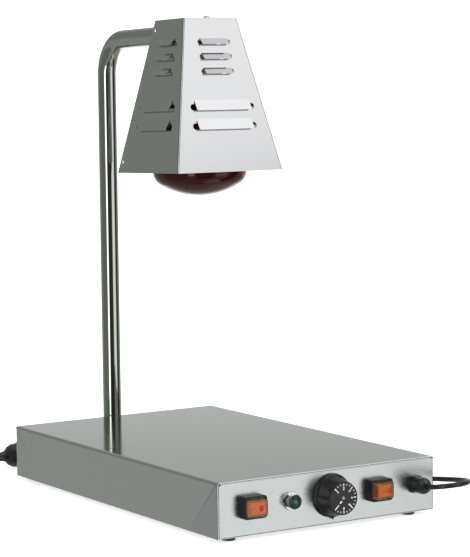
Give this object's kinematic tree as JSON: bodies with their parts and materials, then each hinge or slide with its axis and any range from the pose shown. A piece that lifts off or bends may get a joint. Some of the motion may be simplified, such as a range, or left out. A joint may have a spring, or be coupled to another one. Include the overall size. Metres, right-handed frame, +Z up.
{
  "type": "heat lamp warmer",
  "caption": "Heated stainless steel serving base with rocker switches and a dial, and a louvred heat lamp shade on a bent post.",
  "frame": {"origin": "on the floor under the middle of the standing object, midway between the dial's face and the back of the lamp post", "axes": "+Z up, the control panel faces -Y, +X to the right seen from the front"},
  "size_m": [0.3995, 0.7416, 0.6383],
  "materials": {
    "steel_sheet": "satin stainless sheet",
    "polished_tube": "polished stainless tube",
    "shade_steel": "satin stainless sheet",
    "fixing_steel": "zinc plated",
    "chrome_trim": "bright",
    "black_rubber": "matte",
    "black_plastic": "low gloss",
    "knob_plastic": "satin",
    "dial_plate": "printed",
    "rocker_orange": "glossy",
    "soft_cover": "translucent, glossy",
    "green_lens": "translucent",
    "gland_plastic": "satin",
    "aluminium_sheet": "mill",
    "heater_silicone": "matte",
    "insulation": "glass fibre",
    "thermostat_case": "satin",
    "copper_bulb": "plain copper",
    "ceramic": "glazed ceramic",
    "wiring": "sleeved",
    "red_glass": "dark red lamp glass",
    "lamp_cap": "bright",
    "tungsten": "wire",
    "cord_rubber": "satin",
    "plug_plastic": "satin",
    "plug_brass": "nickel plated"
  },
  "bodies": {
    "warmer": {"arm_flange": "fixing_steel", "back_panel": "steel_sheet", "base_wires": "wiring", "bottom_cover": "steel_sheet", "bracket_rivets": "fixing_steel", "bulb_cap": "lamp_cap", "bulb_filament": "tungsten", "bulb_glass": "red_glass", "cord_coil": "cord_rubber", "cord_tail": "cord_rubber", "cover_screws": "fixing_steel", "flange_screws": "fixing_steel", "foot_screws": "fixing_steel", "front_panel": "steel_sheet", "gland_body": "gland_plastic", "gland_locknut": "gland_plastic", "gland_nut": "gland_plastic", "heat_spreader": "aluminium_sheet", "heater_mat": "heater_silicone", "insulation_board": "insulation", "lamp_lead": "wiring", "lamp_post": "polished_tube", "lampholder": "ceramic", "lampholder_bracket": "fixing_steel", "pilot_bezel": "chrome_trim", "pilot_body": "black_plastic", "pilot_lens": "green_lens", "pilot_nut": "fixing_steel", "plate_and_sides": "steel_sheet", "plug_body": "plug_plastic", "plug_pins": "plug_brass", "post_cap": "black_plastic", "post_grommet": "black_rubber", "post_straps": "fixing_steel", "power_cord": "cord_rubber", "rubber_feet": "black_rubber", "shade_back": "shade_steel", "shade_front": "shade_steel", "shade_left": "shade_steel", "shade_right": "shade_steel", "shade_screws": "fixing_steel", "shade_top": "shade_steel", "shade_top_screw": "fixing_steel", "strap_screws": "fixing_steel", "switch_1_body": "black_plastic", "switch_1_frame": "black_plastic", "switch_2_body": "black_plastic", "switch_2_frame": "black_plastic", "terminal_block": "ceramic", "thermostat_body": "thermostat_case", "thermostat_sensor": "copper_bulb"},
    "switch_1": {"switch_1_rocker": "rocker_orange", "switch_1_cover": "soft_cover"},
    "switch_2": {"switch_2_rocker": "rocker_orange", "switch_2_cover": "soft_cover"},
    "knob": {"knob": "knob_plastic", "knob_dial": "dial_plate", "knob_screw": "fixing_steel", "thermostat_shaft": "fixing_steel"}
  },
  "joints": [
    {"name": "switch_1_rock", "type": "hinge", "parent": "warmer", "child": "switch_1", "pos_m": [-0.1155, -0.27355, 0.042], "axis": [0, 0, 1], "range_deg": [0, 20]},
    {"name": "switch_2_rock", "type": "hinge", "parent": "warmer", "child": "switch_2", "pos_m": [0.073, -0.27355, 0.042], "axis": [0, 0, -1], "range_deg": [0, 20]},
    {"name": "thermostat_turn", "type": "hinge", "parent": "warmer", "child": "knob", "pos_m": [0.003, -0.27955, 0.042], "axis": [0, 1, 0], "range_deg": [0, 270]}
  ]
}
